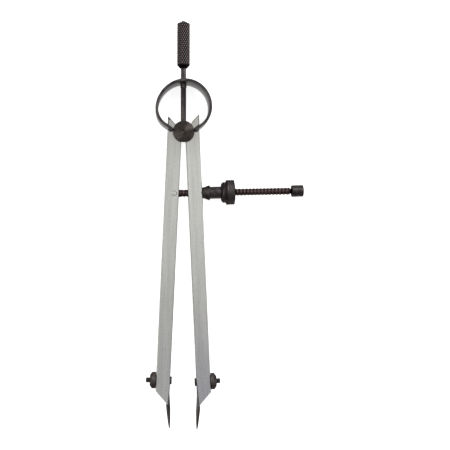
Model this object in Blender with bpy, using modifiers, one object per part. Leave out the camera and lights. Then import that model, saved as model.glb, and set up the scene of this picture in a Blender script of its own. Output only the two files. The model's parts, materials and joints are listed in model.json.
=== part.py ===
"""Spring divider of 150 mm (6 inch) size, lying on the back edge of its bow.

Two flat steel legs swing on a grooved fulcrum stud. A bow spring pushes their ears together, so the
points spread, and a screw with a quick-acting split nut sets the opening. Each point is a needle in a
slanting hole, gripped by an eye bolt. Metres, +Z up. The plan is drawn round the fulcrum's axis.
"""
import math

import bmesh
import bpy
from mathutils import Matrix, Vector

MM = 0.001

# Fits between pieces
SEAT_GAP = 0.3 * MM
BORE_GAP = 0.15 * MM
NOTCH_GAP = 0.25 * MM

# Swing of each leg, from the line that halves the opening
REST_ANGLE = math.radians(2.6)
MOST_OPENING = math.radians(26.0)
MOST_CLOSING = math.radians(2.4)

# Sides of the divider
LEFT = -1
RIGHT = 1

# Legs, measured from the fulcrum along and across each leg; the right one is longer at both ends.
# A leg is as long as its needle's point asks, and its foot keeps its place above that point.
LEG_THICKNESS = 5.6 * MM
LEG_WIDTH = 7.1 * MM
LEG_INSET = 0.95 * MM
LEG_CHAMFER = 0.3 * MM
RIGHT_EXTRA = 1.1 * MM
EAR_HEIGHT = 7.4 * MM
EAR_ANGLE = math.radians(45.0)
FOOT_RISE = 19.4 * MM
FOOT_ANGLE = math.radians(47.0)
FOOT_FLAT = 0.95 * MM

# Fulcrum stud
HUB_RADIUS = 3.5 * MM
FRONT_FLANGE_RADIUS = 5.34 * MM
REAR_FLANGE_RADIUS = 4.4 * MM
FLANGE_THICKNESS = 1.3 * MM
FLANGE_CHAMFER = 0.25 * MM
FLANGE_CROWN = 0.35 * MM

# Handle: a thin stem with a shoulder under the bow, and a knurled grip on its top
STEM_RADIUS = 1.36 * MM
STEM_SHOULDER_RADIUS = 1.56 * MM
STEM_SHOULDER_LENGTH = 2.1 * MM
STEM_ENTRY = 2.6 * MM
STEM_IN_GRIP = 8.0 * MM
GRIP_RADIUS = 3.22 * MM
GRIP_START = 32.35 * MM
GRIP_NECK_RADIUS = 1.75 * MM
GRIP_NECK_LENGTH = 1.5 * MM
GRIP_LENGTH = 20.9 * MM
GRIP_POINT = 1.6 * MM

# Bow spring: a strip with a round top, tighter hips and straight tails
BOW_HEIGHT = 12.1 * MM
BOW_RADIUS = 13.4 * MM
BOW_THICKNESS = 1.36 * MM
BOW_WIDTH = 12.7 * MM
BOW_EDGE = 0.15 * MM
HIP_RADIUS = 10.95 * MM
HIP_ANGLE = math.radians(51.7)
TAIL_LENGTH = 4.25 * MM

# Adjusting screw, measured from its swivel pin
PIVOT_ACROSS = 3.22 * MM
PIVOT_DROP = 31.05 * MM
PIN_RADIUS = 1.1 * MM
EYE_RADIUS = 2.35 * MM
SCREW_RADIUS = 1.82 * MM
THREAD_END = 58.1 * MM
SCREW_NECK_RADIUS = 1.3 * MM
SCREW_NECK_LENGTH = 1.45 * MM
KNOB_RADIUS = 2.98 * MM
KNOB_LENGTH = 6.5 * MM
KNOB_CHAMFER = 0.3 * MM
KNOB_BORE_DEPTH = 5.0 * MM

# Thrust collar, whose ball nose sits in a cup in the right leg's edge; heights along the screw
BALL_ACROSS = 8.9 * MM
BALL_DROP = 30.93 * MM
BALL_RADIUS = 2.85 * MM
BALL_HEIGHT = -0.55 * MM
NUT_PLAY = 0.36 * MM
LIP_RADIUS = 3.85 * MM
LIP_HEIGHT = 2.35 * MM
LIP_BEVEL = 0.3 * MM
COLLAR_HEIGHT = 3.1 * MM

# Split nut: two half sleeves with heads, held in a round body by an end ring
SLEEVE_RADIUS = 3.05 * MM
JAW_NOSE_RADIUS = 2.5 * MM
JAW_NOSE_HEIGHT = 1.6 * MM
JAW_TAPER = 1.3 * MM
JAW_SLIT = 0.4 * MM
JAW_SWING_ROOM = 0.5 * MM
JAW_HEAD_RADIUS = 4.05 * MM
JAW_HEAD_THICKNESS = 1.5 * MM
JAW_SPRING_HEIGHT = 10.35 * MM
JAW_SPRING_WIRE = 0.2 * MM
BODY_HEIGHT = 8.85 * MM
BODY_MOUTH_RADIUS = 3.8 * MM
SHOULDER_RADIUS = 5.33 * MM
SHOULDER_LENGTH = 1.75 * MM
GROOVE_DEPTH = 0.4 * MM
GROOVE_WIDTH = 0.3 * MM
RIM_RADIUS = 6.28 * MM
RIM_START = 2.65 * MM
RIM_LENGTH = 3.9 * MM
RIM_CHAMFER = 0.35 * MM
RIM_ROUNDING = 0.6 * MM
RING_RADIUS = 4.6 * MM
RING_THICKNESS = 1.9 * MM
NUT_CROWN = 0.55 * MM

# Needle points and their eye bolts
NEEDLE_RADIUS = 1.06 * MM
NEEDLE_LENGTH = 36.0 * MM
NEEDLE_TAPER = 10.0 * MM
NEEDLE_SLANT = math.radians(5.8)
NEEDLE_RETRACT = 3.0 * MM
TIP_DROP = 150.0 * MM
TIP_ACROSS = 0.13 * MM
BOLT_RISE = 24.45 * MM
BOLT_HEAD_RADIUS = 2.0 * MM
BOLT_HEAD_START = 0.12 * MM
BOLT_HEAD_LENGTH = 4.7 * MM
BOLT_RADIUS = 1.3 * MM
BOLT_REACH = 13.1 * MM
CLAMP_NUT_RADIUS = 4.12 * MM
CLAMP_NUT_THICKNESS = 2.75 * MM
CLAMP_NUT_FACE_RADIUS = 2.85 * MM
CLAMP_NUT_BEVEL = 0.9 * MM

# Roundness of the solids
ROUND_STEPS = 32
SMALL_STEPS = 20
SHARP_ANGLE = math.radians(35.0)

# Values that follow from the sizes above
LEG_OUTER = LEG_INSET + LEG_WIDTH
HALF_LEG = LEG_THICKNESS / 2
HUB_HALF_LENGTH = HALF_LEG + SEAT_GAP
TAIL_SLOPE = math.pi / 2 - HIP_ANGLE
NUT_BORE_RADIUS = SCREW_RADIUS + NUT_PLAY
BODY_BORE_RADIUS = SLEEVE_RADIUS + JAW_SWING_ROOM
KNOB_START = THREAD_END + SCREW_NECK_LENGTH

SATIN_STEEL = (0.47, 0.47, 0.44)
BROWNED_STEEL = (0.055, 0.045, 0.044)
THREAD_BROWN = (0.045, 0.026, 0.024)
NEEDLE_STEEL = (0.11, 0.10, 0.10)


def clear_scene():
    """Removes whatever the new file holds, so that only the divider is in it."""
    for thing in list(bpy.data.objects):
        bpy.data.objects.remove(thing)


def new_collection(name):
    """Adds a collection to the scene."""
    collection = bpy.data.collections.new(name)
    bpy.context.scene.collection.children.link(collection)
    return collection


clear_scene()
PARTS = new_collection("spring_divider")
CUTTERS = new_collection("spring_divider_cutters")


def axis_empty(name, parent=None, location=(0, 0, 0), turn=0.0):
    """An empty on a joint's axis, turned about Z, that carries the pieces which move together."""
    empty = bpy.data.objects.new(name, None)
    empty.empty_display_size = 4 * MM
    empty.parent = parent
    empty.location = location
    empty.rotation_euler = (0, 0, turn)
    PARTS.objects.link(empty)
    return empty


def add_object(name, mesh, parent, location=(0, 0, 0), direction=(0, 0, 1), collection=None):
    """Places a mesh whose own Z axis then points along direction."""
    thing = bpy.data.objects.new(name, mesh)
    thing.parent = parent
    thing.location = location
    thing.rotation_euler = Vector((0, 0, 1)).rotation_difference(Vector(direction)).to_euler()
    (collection or PARTS).objects.link(thing)
    return thing


def give_finish(thing, colour, roughness, metallic=0.9):
    """Gives a piece its own metal finish."""
    finish = bpy.data.materials.new(thing.name + "_finish")
    finish.use_nodes = True
    shader = finish.node_tree.nodes["Principled BSDF"]
    shader.inputs["Base Color"].default_value = (*colour, 1)
    shader.inputs["Roughness"].default_value = roughness
    shader.inputs["Metallic"].default_value = metallic
    finish.diffuse_color = (*colour, 1)
    thing.data.materials.append(finish)
    return thing


def evaluated_mesh(thing):
    """The mesh that an object's modifiers or curve make, as plain data."""
    bpy.context.view_layer.update()
    graph = bpy.context.evaluated_depsgraph_get()
    return bpy.data.meshes.new_from_object(thing.evaluated_get(graph))


def turned_mesh(name, profile, bored=False, steps=ROUND_STEPS):
    """Turns a profile of (radius, height) points about Z. It runs down the outer side.

    A bored piece's profile is a closed loop, and a solid one's starts and ends on the axis.
    """
    mesh = bpy.data.meshes.new(name + "_profile")
    edges = [(i, i + 1) for i in range(len(profile) - 1)]
    if bored:
        edges.append((len(profile) - 1, 0))
    mesh.from_pydata([(radius, 0, height) for radius, height in profile], edges, [])
    blank = bpy.data.objects.new(name + "_blank", mesh)
    CUTTERS.objects.link(blank)
    lathe = blank.modifiers.new("lathe", "SCREW")
    lathe.steps = steps
    lathe.render_steps = steps
    lathe.use_merge_vertices = True
    lathe.merge_threshold = 0.00001
    turned = evaluated_mesh(blank)
    turned.name = name
    turned.shade_smooth()
    turned.set_sharp_from_angle(angle=SHARP_ANGLE)
    bpy.data.objects.remove(blank)
    return turned


def curve_mesh(name, points, half_height, closed=True):
    """Makes a flat outline into a plate, or an open line into a ribbon, of twice half_height."""
    curve = bpy.data.curves.new(name, "CURVE")
    curve.dimensions = "2D"
    curve.fill_mode = "BOTH" if closed else "NONE"
    curve.extrude = half_height
    spline = curve.splines.new("POLY")
    spline.points.add(len(points) - 1)
    for spot, point in zip(spline.points, points):
        spot.co = (point[0], point[1], 0, 1)
    spline.use_cyclic_u = closed
    drawing = bpy.data.objects.new(name + "_drawing", curve)
    CUTTERS.objects.link(drawing)
    mesh = evaluated_mesh(drawing)
    mesh.name = name
    bpy.data.objects.remove(drawing)
    shape = bmesh.new()
    shape.from_mesh(mesh)
    bmesh.ops.remove_doubles(shape, verts=shape.verts, dist=0.000001)
    bmesh.ops.recalc_face_normals(shape, faces=shape.faces)
    shape.to_mesh(mesh)
    shape.free()
    return mesh


def hide_cutter(cutter):
    """Shows a cutter as a wire that is never rendered."""
    cutter.hide_render = True
    cutter.display_type = "WIRE"
    return cutter


def drill(name, radius, length, parent, location, direction, steps=ROUND_STEPS):
    """A round cutter from location, along direction."""
    shape = bmesh.new()
    bmesh.ops.create_cone(shape, cap_ends=True, segments=steps, radius1=radius, radius2=radius, depth=length)
    bmesh.ops.translate(shape, verts=shape.verts, vec=(0, 0, length / 2))
    mesh = bpy.data.meshes.new(name)
    shape.to_mesh(mesh)
    shape.free()
    return hide_cutter(add_object(name, mesh, parent, location, direction, CUTTERS))


def combine(thing, tool, operation="DIFFERENCE"):
    """Cuts a tool's shape out of a piece, or joins it on."""
    boolean = thing.modifiers.new(tool.name, "BOOLEAN")
    boolean.object = tool
    boolean.operation = operation
    boolean.solver = "EXACT"


def arc(centre, radius, start, end, count):
    """Points round an arc, both ends with it."""
    step = (end - start) / count
    angles = [start + i * step for i in range(count + 1)]
    return [Vector(centre) + radius * Vector((math.cos(a), math.sin(a))) for a in angles]


def turned_point(point, angle):
    """A plan point turned about the fulcrum."""
    return Matrix.Rotation(angle, 2) @ Vector(point)


def pivot_point(swing):
    """The swivel pin's place when each leg has opened by swing."""
    return turned_point((-PIVOT_ACROSS, -PIVOT_DROP), -REST_ANGLE - swing)


def ball_point(swing):
    """The place of the collar's ball when each leg has opened by swing."""
    return turned_point((BALL_ACROSS, -BALL_DROP), REST_ANGLE + swing)


def screw_angle(swing):
    """The angle between the screw and the X axis when each leg has opened by swing."""
    run = ball_point(swing) - pivot_point(swing)
    return math.atan2(run.y, run.x)


def extra(side):
    """How much longer a leg is, above and below the fulcrum, than the left one."""
    return RIGHT_EXTRA if side == RIGHT else 0.0


def tip_drop(side):
    """How far below the fulcrum a leg's needle ends."""
    return TIP_DROP + extra(side)


def bolt_drop(side):
    """How far below the fulcrum a leg's eye bolt sits."""
    return tip_drop(side) - BOLT_RISE


def bow_half():
    """Mid-line of the bow's right half, from its top to the end of its tail."""
    centre = Vector((0, BOW_HEIGHT))
    crown = arc(centre, BOW_RADIUS, math.pi / 2, 0, 14)
    hip = arc(centre + Vector((BOW_RADIUS - HIP_RADIUS, 0)), HIP_RADIUS, 0, -HIP_ANGLE, 7)
    tail = hip[-1] - TAIL_LENGTH * Vector((math.cos(TAIL_SLOPE), math.sin(TAIL_SLOPE)))
    return crown + hip[1:] + [tail]


def bow_notch():
    """The round-ended notch in the right leg's edge that holds the bow's tail."""
    end = turned_point(bow_half()[-1], -REST_ANGLE)
    slope = TAIL_SLOPE - REST_ANGLE
    along = Vector((math.cos(slope), math.sin(slope)))
    across = Vector((-along.y, along.x))
    half = BOW_THICKNESS / 2 + NOTCH_GAP
    pit = end + along * SEAT_GAP
    floor = arc(pit, half, slope - math.pi / 2, slope - 3 * math.pi / 2, 8)
    sides = (pit - across * half, pit + across * half)
    mouth = [side + along * (LEG_OUTER - side.x) / along.x for side in sides]
    return [mouth[0]] + floor + [mouth[1]]


def leg_outline(side):
    """Plan of a leg, drawn as a right one: foot, notch for the bow, ear, and notch for the hub."""
    corner = tip_drop(side) - FOOT_RISE
    sole = corner + (LEG_WIDTH - FOOT_FLAT) * math.tan(FOOT_ANGLE)
    foot = [(LEG_INSET, -sole), (LEG_INSET + FOOT_FLAT, -sole), (LEG_OUTER, -corner)]
    height = EAR_HEIGHT + extra(side)
    ear = (LEG_OUTER, height)
    fall = math.tan(EAR_ANGLE)
    most = REST_ANGLE + MOST_OPENING
    room = STEM_RADIUS + SEAT_GAP
    relief_x = room + (height - fall * LEG_OUTER) * math.sin(most)
    relief_x /= math.cos(most) - fall * math.sin(most)
    relief = (relief_x, height - fall * (LEG_OUTER - relief_x))
    hub = HUB_RADIUS + SEAT_GAP
    top = math.pi / 2 - most - math.asin(room / hub)
    bottom = -math.acos(LEG_INSET / hub)
    return [*foot, *bow_notch(), ear, relief, *arc((0, 0), hub, top, bottom, 12)]


def chamfered_plate(name, outline):
    """A plate of the leg's thickness with a small chamfer round both faces."""
    mesh = curve_mesh(name, outline, HALF_LEG)
    weights = mesh.attributes.new("bevel_weight_edge", "FLOAT", "EDGE")
    shape = bmesh.new()
    shape.from_mesh(mesh)
    layer = shape.edges.layers.float["bevel_weight_edge"]
    for edge in shape.edges:
        flat = abs(edge.verts[0].co.z - edge.verts[1].co.z) < 0.00001
        edge[layer] = 1.0 if flat and edge.calc_face_angle(0) > SHARP_ANGLE else 0.0
    shape.to_mesh(mesh)
    shape.free()
    return mesh


def slot_cutter(name, parent, inner, outer, middle, up, down, half_height):
    """A milled slot through a leg's edge, long along the leg and round at both ends."""
    reach = [Vector((middle + up - half_height, 0)), Vector((middle - down + half_height, 0))]
    outline = arc(reach[0], half_height, -math.pi / 2, math.pi / 2, 10)
    outline += arc(reach[1], half_height, math.pi / 2, 3 * math.pi / 2, 10)
    mesh = curve_mesh(name, outline, abs(outer - inner) / 2)
    mesh.transform(Matrix(((0, 0, 1, (inner + outer) / 2), (1, 0, 0, 0), (0, 1, 0, 0), (0, 0, 0, 1))))
    return hide_cutter(add_object(name, mesh, parent, collection=CUTTERS))


def add_leg(side, name, carrier):
    """A flat leg, with the bores for its eye bolt and its needle."""
    outline = [(side * point[0], point[1]) for point in leg_outline(side)]
    leg = add_object(name, chamfered_plate(name, outline), carrier)
    chamfer = leg.modifiers.new("chamfer", "BEVEL")
    chamfer.width = LEG_CHAMFER
    chamfer.segments = 1
    chamfer.limit_method = "WEIGHT"
    give_finish(leg, SATIN_STEEL, 0.4)

    outward = (side, 0, 0)
    inner = side * (LEG_INSET - LEG_WIDTH / 2)
    head_end = BOLT_HEAD_START + BOLT_HEAD_LENGTH + SEAT_GAP
    head_bore = drill(
        name + "_head_bore", BOLT_HEAD_RADIUS + SEAT_GAP, head_end - LEG_INSET + LEG_WIDTH / 2,
        carrier, (inner, -bolt_drop(side), 0), outward,
    )
    shank_bore = drill(
        name + "_shank_bore", BOLT_RADIUS + SEAT_GAP, 2 * LEG_WIDTH,
        carrier, (inner, -bolt_drop(side), 0), outward, SMALL_STEPS,
    )
    tip, uphill = needle_line(side)
    needle_bore = drill(
        name + "_needle_bore", NEEDLE_RADIUS + SEAT_GAP, NEEDLE_LENGTH + NEEDLE_RETRACT + SEAT_GAP,
        carrier, tip, uphill, SMALL_STEPS,
    )
    for cutter in (head_bore, shank_bore, needle_bore):
        combine(leg, cutter)
    return leg


def needle_line(side):
    """The tip of a needle and the direction up its axis, in its leg's frame."""
    tip = Vector((side * TIP_ACROSS, -tip_drop(side), 0))
    uphill = Vector((side * math.sin(NEEDLE_SLANT), math.cos(NEEDLE_SLANT), 0))
    return tip, uphill


def cut_swivel_pocket(leg, carrier):
    """The pocket in the left leg where the screw's eye swivels, and the hole for its pin."""
    most = screw_angle(MOST_OPENING) + REST_ANGLE + MOST_OPENING
    depth = PIVOT_ACROSS - LEG_INSET
    up = depth * math.tan(most) + SCREW_RADIUS / math.cos(most) + 2 * SEAT_GAP
    half = SCREW_RADIUS + SEAT_GAP
    eye_room = EYE_RADIUS + SEAT_GAP
    corner = half - math.sqrt(half ** 2 - SCREW_RADIUS ** 2)
    pocket = slot_cutter(
        "swivel_pocket", carrier, -LEG_INSET + LEG_WIDTH / 2, -PIVOT_ACROSS - eye_room,
        -PIVOT_DROP, max(up, eye_room + corner), eye_room + corner, half,
    )
    combine(leg, pocket)
    pin_hole = drill(
        "pin_hole", PIN_RADIUS + BORE_GAP, 2 * LEG_THICKNESS, carrier,
        (-PIVOT_ACROSS, -PIVOT_DROP, -LEG_THICKNESS), (0, 0, 1), SMALL_STEPS,
    )
    combine(leg, pin_hole)


def cut_screw_slot(leg, carrier):
    """The slot that lets the screw through the right leg, and the cup for the collar's ball."""
    open_tilt = REST_ANGLE + MOST_OPENING - screw_angle(MOST_OPENING)
    shut_tilt = screw_angle(-MOST_CLOSING) - REST_ANGLE + MOST_CLOSING
    depth = BALL_ACROSS - LEG_INSET
    up = depth * math.tan(open_tilt) + SCREW_RADIUS / math.cos(open_tilt) + 2 * SEAT_GAP
    down = depth * math.tan(max(shut_tilt, 0)) + SCREW_RADIUS + 2 * SEAT_GAP
    slot = slot_cutter(
        "screw_slot", carrier, LEG_INSET - LEG_WIDTH / 2, LEG_OUTER + LEG_WIDTH / 2,
        -BALL_DROP, up, down, SCREW_RADIUS + SEAT_GAP,
    )
    combine(leg, slot)
    cup = bmesh.new()
    bmesh.ops.create_uvsphere(cup, u_segments=ROUND_STEPS, v_segments=16, radius=BALL_RADIUS + SEAT_GAP)
    mesh = bpy.data.meshes.new("ball_cup")
    cup.to_mesh(mesh)
    cup.free()
    cutter = add_object("ball_cup", mesh, carrier, (BALL_ACROSS, -BALL_DROP, 0), collection=CUTTERS)
    combine(leg, hide_cutter(cutter))


def add_fulcrum(frame):
    """The fulcrum stud, turned in one piece: a hub between a wide front flange and a smaller rear one."""
    front = HUB_HALF_LENGTH + FLANGE_THICKNESS
    rear = -HUB_HALF_LENGTH - FLANGE_THICKNESS
    profile = [
        (0, front + FLANGE_CROWN),
        (FRONT_FLANGE_RADIUS - FLANGE_CHAMFER, front),
        (FRONT_FLANGE_RADIUS, front - FLANGE_CHAMFER),
        (FRONT_FLANGE_RADIUS, HUB_HALF_LENGTH),
        (HUB_RADIUS, HUB_HALF_LENGTH),
        (HUB_RADIUS, -HUB_HALF_LENGTH),
        (REAR_FLANGE_RADIUS, -HUB_HALF_LENGTH),
        (REAR_FLANGE_RADIUS, rear + FLANGE_CHAMFER),
        (REAR_FLANGE_RADIUS - FLANGE_CHAMFER, rear),
        (0, rear),
    ]
    stud = add_object("fulcrum_stud", turned_mesh("fulcrum_stud", profile), frame)
    hole_floor = HUB_RADIUS - STEM_ENTRY - SEAT_GAP
    hole = drill(
        "stem_hole", STEM_RADIUS + BORE_GAP, HUB_RADIUS, frame, (0, hole_floor, 0), (0, 1, 0), SMALL_STEPS,
    )
    combine(stud, hole)
    give_finish(stud, BROWNED_STEEL, 0.38)


def add_handle(frame):
    """The stem, set in the hub and passed through the bow, and the grip on its top."""
    foot = HUB_RADIUS - STEM_ENTRY
    shoulder = BOW_HEIGHT + BOW_RADIUS - BOW_THICKNESS / 2 - SEAT_GAP
    profile = [
        (0, GRIP_START + STEM_IN_GRIP),
        (STEM_RADIUS, GRIP_START + STEM_IN_GRIP),
        (STEM_RADIUS, shoulder),
        (STEM_SHOULDER_RADIUS, shoulder),
        (STEM_SHOULDER_RADIUS, shoulder - STEM_SHOULDER_LENGTH),
        (STEM_RADIUS, shoulder - STEM_SHOULDER_LENGTH),
        (STEM_RADIUS, foot),
        (0, foot),
    ]
    stem = turned_mesh("handle_stem", profile, steps=SMALL_STEPS)
    give_finish(add_object("handle_stem", stem, frame, direction=(0, 1, 0)), BROWNED_STEEL, 0.45)

    bore = STEM_RADIUS + BORE_GAP
    bore_end = GRIP_START + STEM_IN_GRIP + SEAT_GAP
    knurl_start = GRIP_START + GRIP_NECK_LENGTH
    profile = [
        (0, knurl_start + GRIP_LENGTH + GRIP_POINT),
        (GRIP_RADIUS, knurl_start + GRIP_LENGTH),
        (GRIP_RADIUS, knurl_start),
        (GRIP_NECK_RADIUS, GRIP_START),
        (bore, GRIP_START),
        (bore, bore_end),
        (0, bore_end),
    ]
    grip = turned_mesh("handle_grip", profile)
    give_finish(add_object("handle_grip", grip, frame, direction=(0, 1, 0)), BROWNED_STEEL, 0.5)


def add_bow(frame):
    """The bow: a spring-steel strip bent round, with a hole at its top for the stem."""
    right = bow_half()
    left = [Vector((-point.x, point.y)) for point in right]
    path = left[:0:-1] + right
    bow = add_object("bow_spring", curve_mesh("bow_spring", path, BOW_WIDTH / 2, closed=False), frame)
    wall = bow.modifiers.new("strip", "SOLIDIFY")
    wall.thickness = BOW_THICKNESS
    wall.offset = 0
    wall.use_even_offset = True
    edges = bow.modifiers.new("edges", "BEVEL")
    edges.width = BOW_EDGE
    edges.segments = 1
    edges.limit_method = "ANGLE"
    edges.angle_limit = SHARP_ANGLE
    hole = drill(
        "bow_hole", STEM_RADIUS + SEAT_GAP, 4 * BOW_THICKNESS, frame,
        (0, BOW_HEIGHT + BOW_RADIUS - 2 * BOW_THICKNESS, 0), (0, 1, 0), SMALL_STEPS,
    )
    combine(bow, hole)
    give_finish(bow, BROWNED_STEEL, 0.42)


def add_screw(carrier):
    """The adjusting screw, forged with a flat eye at its pinned end; its own X axis is the screw's."""
    profile = [
        (0, KNOB_START + KNOB_BORE_DEPTH - SEAT_GAP),
        (SCREW_NECK_RADIUS, KNOB_START + KNOB_BORE_DEPTH - SEAT_GAP),
        (SCREW_NECK_RADIUS, THREAD_END),
        (SCREW_RADIUS, THREAD_END),
        (SCREW_RADIUS, PIN_RADIUS),
        (0, PIN_RADIUS),
    ]
    rod = turned_mesh("adjusting_screw", profile, steps=24)
    screw = add_object("adjusting_screw", rod, carrier, direction=(1, 0, 0))
    eye_half = SCREW_RADIUS - BORE_GAP / 2
    eye = drill("screw_eye", EYE_RADIUS, 2 * eye_half, carrier, (0, 0, -eye_half), (0, 0, 1))
    combine(screw, eye, "UNION")
    pin_bore = drill(
        "eye_pin_hole", PIN_RADIUS + BORE_GAP, 4 * SCREW_RADIUS,
        carrier, (0, 0, -2 * SCREW_RADIUS), (0, 0, 1), SMALL_STEPS,
    )
    combine(screw, pin_bore)
    give_finish(screw, THREAD_BROWN, 0.45)

    knob_end = KNOB_START + KNOB_LENGTH
    bore = SCREW_NECK_RADIUS + BORE_GAP
    profile = [
        (0, knob_end),
        (KNOB_RADIUS - KNOB_CHAMFER, knob_end),
        (KNOB_RADIUS, knob_end - KNOB_CHAMFER),
        (KNOB_RADIUS, KNOB_START + KNOB_CHAMFER),
        (KNOB_RADIUS - KNOB_CHAMFER, KNOB_START),
        (bore, KNOB_START),
        (bore, KNOB_START + KNOB_BORE_DEPTH),
        (0, KNOB_START + KNOB_BORE_DEPTH),
    ]
    knob = add_object("stop_knob", turned_mesh("stop_knob", profile), carrier, direction=(1, 0, 0))
    give_finish(knob, BROWNED_STEEL, 0.4)


def add_swivel_pin(carrier):
    """The pin that the screw's eye turns on, flush with both faces of the left leg."""
    half = HALF_LEG - BORE_GAP / 2
    profile = [(0, half), (PIN_RADIUS, half), (PIN_RADIUS, -half), (0, -half)]
    pin = turned_mesh("swivel_pin", profile, steps=SMALL_STEPS)
    give_finish(add_object("swivel_pin", pin, carrier, (-PIVOT_ACROSS, -PIVOT_DROP, 0)), SATIN_STEEL, 0.4)


def add_collar(carrier):
    """The thrust collar: a ball nose towards the leg, and a cone inside its lip that shuts the jaws."""
    slope = (SLEEVE_RADIUS - JAW_NOSE_RADIUS) / JAW_TAPER
    clear = SEAT_GAP * math.sqrt(1 + slope ** 2)
    cone_floor = JAW_NOSE_HEIGHT - SEAT_GAP

    def cone_radius(height):
        return JAW_NOSE_RADIUS + clear + slope * (height - JAW_NOSE_HEIGHT)

    ball_start = math.asin(BALL_HEIGHT / BALL_RADIUS)
    ball_end = -math.acos(NUT_BORE_RADIUS / BALL_RADIUS)
    ball = [(point.x, point.y) for point in arc((0, 0), BALL_RADIUS, ball_start, ball_end, 5)]
    profile = [
        (LIP_RADIUS - LIP_BEVEL, COLLAR_HEIGHT),
        (LIP_RADIUS, LIP_HEIGHT),
        *ball,
        (NUT_BORE_RADIUS, cone_floor),
        (cone_radius(cone_floor), cone_floor),
        (cone_radius(COLLAR_HEIGHT), COLLAR_HEIGHT),
    ]
    collar = turned_mesh("thrust_collar", profile, bored=True)
    give_finish(add_object("thrust_collar", collar, carrier, direction=(1, 0, 0)), BROWNED_STEEL, 0.4)


def add_nut(carrier):
    """The split nut: its body, the end ring that closes it, two jaws and the ring that parts them."""
    body_end = BODY_HEIGHT + RIM_START + RIM_LENGTH
    ring_seat = body_end + NUT_CROWN / 2 - RING_THICKNESS
    head_end = ring_seat - BORE_GAP
    head_start = head_end - JAW_HEAD_THICKNESS
    groove = BODY_HEIGHT + SHOULDER_LENGTH
    swell = SHOULDER_RADIUS - BODY_MOUTH_RADIUS
    rounding = [
        (BODY_MOUTH_RADIUS + swell * math.sin(turn), groove - SHOULDER_LENGTH * math.cos(turn))
        for turn in (math.radians(15 * i) for i in range(6, -1, -1))
    ]
    corner = (RIM_RADIUS - RIM_ROUNDING, BODY_HEIGHT + RIM_START + RIM_ROUNDING)
    rim_corner = [(point.x, point.y) for point in arc(corner, RIM_ROUNDING, 0, -math.pi / 2, 3)]
    profile = [
        (RING_RADIUS + SEAT_GAP, body_end + NUT_CROWN / 2),
        (RIM_RADIUS - RIM_CHAMFER, body_end),
        (RIM_RADIUS, body_end - RIM_CHAMFER),
        *rim_corner,
        (SHOULDER_RADIUS + RIM_CHAMFER, BODY_HEIGHT + RIM_START),
        (SHOULDER_RADIUS + RIM_CHAMFER, groove + GROOVE_WIDTH),
        (SHOULDER_RADIUS - GROOVE_DEPTH, groove + GROOVE_WIDTH),
        (SHOULDER_RADIUS - GROOVE_DEPTH, groove),
        *rounding,
        (BODY_BORE_RADIUS, BODY_HEIGHT),
        (BODY_BORE_RADIUS, head_start - SEAT_GAP),
        (JAW_HEAD_RADIUS + SEAT_GAP, head_start - SEAT_GAP),
        (JAW_HEAD_RADIUS + SEAT_GAP, ring_seat - SEAT_GAP),
        (RING_RADIUS + SEAT_GAP, ring_seat - SEAT_GAP),
    ]
    body = turned_mesh("nut_body", profile, bored=True, steps=40)
    give_finish(add_object("nut_body", body, carrier, direction=(1, 0, 0)), BROWNED_STEEL, 0.42)

    profile = [
        (NUT_BORE_RADIUS, body_end + NUT_CROWN),
        (RING_RADIUS, body_end + NUT_CROWN / 2),
        (RING_RADIUS, ring_seat + BORE_GAP),
        (NUT_BORE_RADIUS, ring_seat + BORE_GAP),
    ]
    ring = turned_mesh("nut_end_ring", profile, bored=True)
    give_finish(add_object("nut_end_ring", ring, carrier, direction=(1, 0, 0)), BROWNED_STEEL, 0.4)

    half_gap = JAW_SPRING_WIRE + BORE_GAP
    groove_radius = NUT_BORE_RADIUS + 2 * JAW_SPRING_WIRE + BORE_GAP
    profile = [
        (JAW_HEAD_RADIUS, head_end),
        (JAW_HEAD_RADIUS, head_start),
        (SLEEVE_RADIUS, head_start),
        (SLEEVE_RADIUS, JAW_NOSE_HEIGHT + JAW_TAPER),
        (JAW_NOSE_RADIUS, JAW_NOSE_HEIGHT),
        (NUT_BORE_RADIUS, JAW_NOSE_HEIGHT),
        (NUT_BORE_RADIUS, JAW_SPRING_HEIGHT - half_gap),
        (groove_radius, JAW_SPRING_HEIGHT - half_gap),
        (groove_radius, JAW_SPRING_HEIGHT + half_gap),
        (NUT_BORE_RADIUS, JAW_SPRING_HEIGHT + half_gap),
        (NUT_BORE_RADIUS, head_end),
    ]
    for name, side in (("upper_nut_jaw", 1), ("lower_nut_jaw", -1)):
        sleeve = turned_mesh(name, profile, bored=True)
        jaw = add_object(name, sleeve, carrier, direction=(1, 0, 0))
        reach = 2 * JAW_HEAD_RADIUS
        other_half = bmesh.new()
        bmesh.ops.create_cube(other_half, size=1)
        size = Vector((2 * body_end, reach, reach))
        bmesh.ops.scale(other_half, vec=size, verts=other_half.verts)
        mesh = bpy.data.meshes.new(name + "_split")
        other_half.to_mesh(mesh)
        other_half.free()
        height = side * (JAW_SLIT - reach) / 2
        split = add_object(name + "_split", mesh, carrier, (body_end / 2, 0, height), collection=CUTTERS)
        combine(jaw, hide_cutter(split))
        give_finish(jaw, BROWNED_STEEL, 0.4)

    wire = bpy.data.curves.new("jaw_spring", "CURVE")
    wire.dimensions = "3D"
    wire.bevel_depth = JAW_SPRING_WIRE
    wire.bevel_resolution = 2
    wire.use_fill_caps = True
    coil = wire.splines.new("POLY")
    radius = NUT_BORE_RADIUS + JAW_SPRING_WIRE + BORE_GAP / 3
    round_points = arc((0, 0), radius, math.radians(20), math.radians(340), 24)
    coil.points.add(len(round_points) - 1)
    for spot, point in zip(coil.points, round_points):
        spot.co = (JAW_SPRING_HEIGHT, point.x, point.y, 1)
    spring = add_object("jaw_spring", wire, carrier)
    give_finish(spring, NEEDLE_STEEL, 0.35)


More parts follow.
